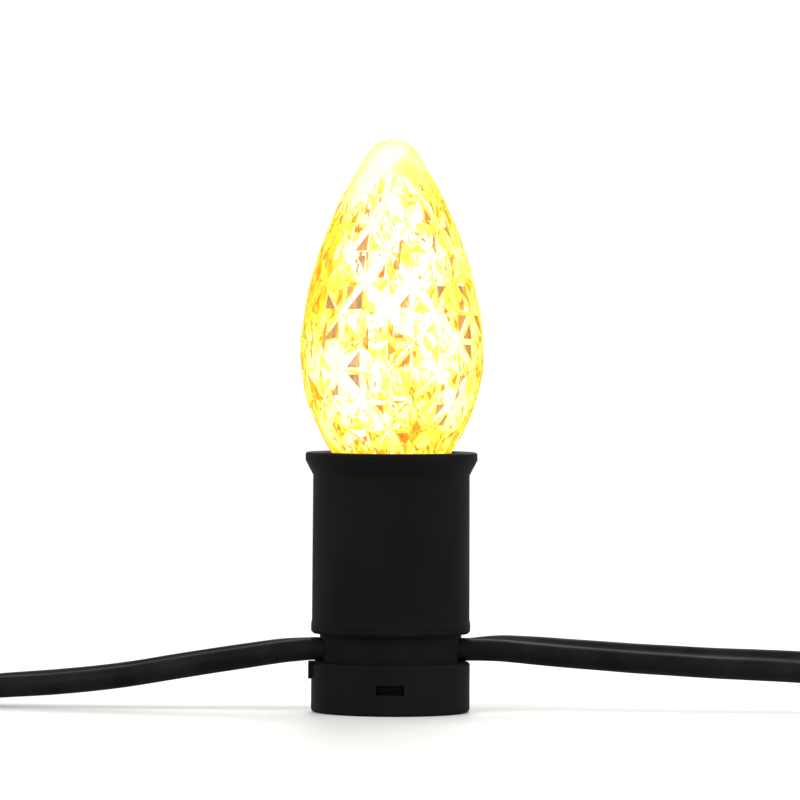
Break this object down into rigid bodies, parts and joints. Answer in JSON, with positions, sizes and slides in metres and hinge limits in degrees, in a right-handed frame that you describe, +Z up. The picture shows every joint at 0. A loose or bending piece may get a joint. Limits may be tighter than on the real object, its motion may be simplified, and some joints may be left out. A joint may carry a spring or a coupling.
{
  "type": "christmas light bulb",
  "caption": "Faceted screw-in LED light bulb, lit warm, seated in a black clip-on cord socket with a flat cord to a plug and a connector.",
  "frame": {"origin": "middle of the flat underside of the socket's end cap", "axes": "+Z up the axis of the socket and the bulb, -Y towards the viewer, +X along the cord to the right"},
  "size_m": [0.39, 0.0375, 0.1003],
  "materials": {
    "globe_plastic": "clear diamond-cut plastic, lit warm from inside",
    "lit_lamp": "clear epoxy lamp, lit",
    "white_plastic": "moulded",
    "screw_brass": "rolled sheet, bright",
    "spring_brass": "stamped strip",
    "dark_insulator": "glossy moulded",
    "solder": "tinned, slightly dull",
    "board": "green solder mask",
    "resistor_coat": "tan coat",
    "black_part": "moulded epoxy",
    "blue_sleeve": "shrink sleeve",
    "red_wire": "insulated wire",
    "bare_wire": "tinned wire",
    "black_plastic": "moulded black",
    "cord_jacket": "soft extruded vinyl"
  },
  "bodies": {
    "socket": {"socket_housing": "black_plastic", "socket_screw_shell": "screw_brass", "center_contact_spring": "spring_brass", "shell_pin": "spring_brass", "center_pin": "spring_brass", "end_cap": "black_plastic", "cord_clamped": "cord_jacket", "cord_left": "cord_jacket", "cord_right": "cord_jacket", "plug_body": "black_plastic", "plug_cover": "black_plastic", "plug_blade_near": "spring_brass", "plug_blade_far": "spring_brass", "connector_body": "black_plastic", "connector_cover": "black_plastic", "connector_contact_near": "spring_brass", "connector_contact_far": "spring_brass"},
    "bulb_rise": {"base_tip_contact": "solder"},
    "bulb": {"globe": "globe_plastic", "base_collar": "white_plastic", "base_screw_shell": "screw_brass", "base_insulator": "dark_insulator", "led_board": "board", "led_middle": "lit_lamp", "led_front": "lit_lamp", "led_right": "lit_lamp", "led_back": "lit_lamp", "led_left": "lit_lamp", "resistor": "resistor_coat", "rectifier": "black_part", "capacitor": "blue_sleeve", "shell_lead_wire": "red_wire", "tip_lead_wire": "bare_wire"}
  },
  "joints": [
    {"name": "bulb_lift", "type": "slide", "parent": "socket", "child": "bulb_rise", "axis": [0, 0, 1], "range_m": [0, 0.0127]},
    {"name": "bulb_turn", "type": "hinge", "parent": "bulb_rise", "child": "bulb", "pos_m": [0, 0, 0.04], "axis": [0, 0, 1], "range_deg": [0, 1620]}
  ],
  "couplings": [
    {"joint": "bulb_lift", "follows": "bulb_turn", "m_per_rad": 0.00044913}
  ]
}
